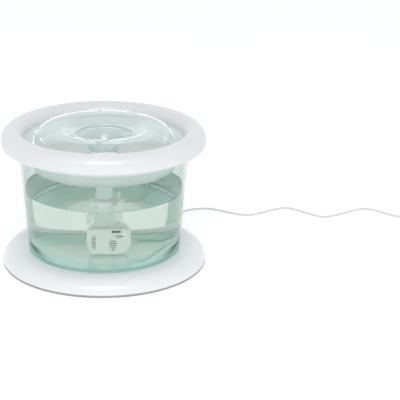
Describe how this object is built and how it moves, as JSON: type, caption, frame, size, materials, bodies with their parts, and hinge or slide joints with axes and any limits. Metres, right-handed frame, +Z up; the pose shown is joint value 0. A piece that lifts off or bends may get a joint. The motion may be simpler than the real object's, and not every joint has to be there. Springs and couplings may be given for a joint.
{
  "type": "pet water fountain",
  "caption": "Round pet water fountain: clear tapered tank on a wide base, rounded rim ring, bubble dome over a drinking channel, submerged pump and low-voltage lead.",
  "frame": {"origin": "centre of the face that the fountain rests on", "axes": "+Z up, out of the dome; -Y towards the pump's intake; +X towards the side that the lead runs to"},
  "size_m": [0.6073, 0.3099, 0.18],
  "materials": {
    "white": "gloss moulded white",
    "grip": "soft pale grey",
    "clear_teal": "clear, teal tint",
    "clear_grey": "clear, pale grey-green tint",
    "seal": "soft translucent grey",
    "charcoal": "charcoal in a pale non-woven cover",
    "fleece": "white fleece",
    "black_rubber": "black rubber",
    "pump_white": "satin off-white",
    "foam": "open foam",
    "ceramic": "polished",
    "impeller_blue": "moulded",
    "magnet": "ferrite",
    "slider": "moulded",
    "lead": "pale grey sheath",
    "adapter": "fine spark texture",
    "pins": "plated"
  },
  "bodies": {
    "tank_base": {"base_ring": "white", "grip_ring": "grip", "reservoir": "clear_teal", "pump_housing": "pump_white", "intake_cover": "pump_white", "intake_foam": "foam", "volute_plate": "pump_white", "front_bush": "black_rubber", "rear_bush": "black_rubber", "pump_shaft": "ceramic", "suction_cups": "seal", "pump_gland": "lead", "rim_grommet": "seal", "lead_inner": "lead", "lead_run": "lead", "lead_coil": "lead", "coil_tie": "black_rubber", "lead_tail": "lead", "adapter_relief": "adapter", "adapter_housing": "adapter", "adapter_pins": "pins"},
    "lid": {"ring_upper": "white", "ring_lower": "white", "rim_seal": "seal", "bowl_tray": "clear_grey", "filter_pan": "clear_grey", "charcoal_pad": "charcoal", "fleece_pad": "fleece", "return_duct": "clear_teal", "riser_tube": "clear_grey", "riser_seal": "black_rubber", "jet": "white"},
    "bubble": {"dome": "clear_grey", "spout_cup": "clear_grey"},
    "rotor": {"impeller": "impeller_blue", "rotor_magnet": "magnet"},
    "regulator": {"flow_slider": "slider"}
  },
  "joints": [
    {"name": "lid_lift", "type": "slide", "parent": "tank_base", "child": "lid", "axis": [0, 0, 1], "range_m": [0, 0.11]},
    {"name": "dome_lift", "type": "slide", "parent": "lid", "child": "bubble", "axis": [0, 0, 1], "range_m": [0, 0.06]},
    {"name": "rotor_spin", "type": "hinge", "parent": "tank_base", "child": "rotor", "pos_m": [0.004, 0, 0.0408], "axis": [0, 1, 0], "continuous": true},
    {"name": "flow_set", "type": "slide", "parent": "tank_base", "child": "regulator", "axis": [1, 0, 0], "range_m": [0, 0.004]}
  ]
}
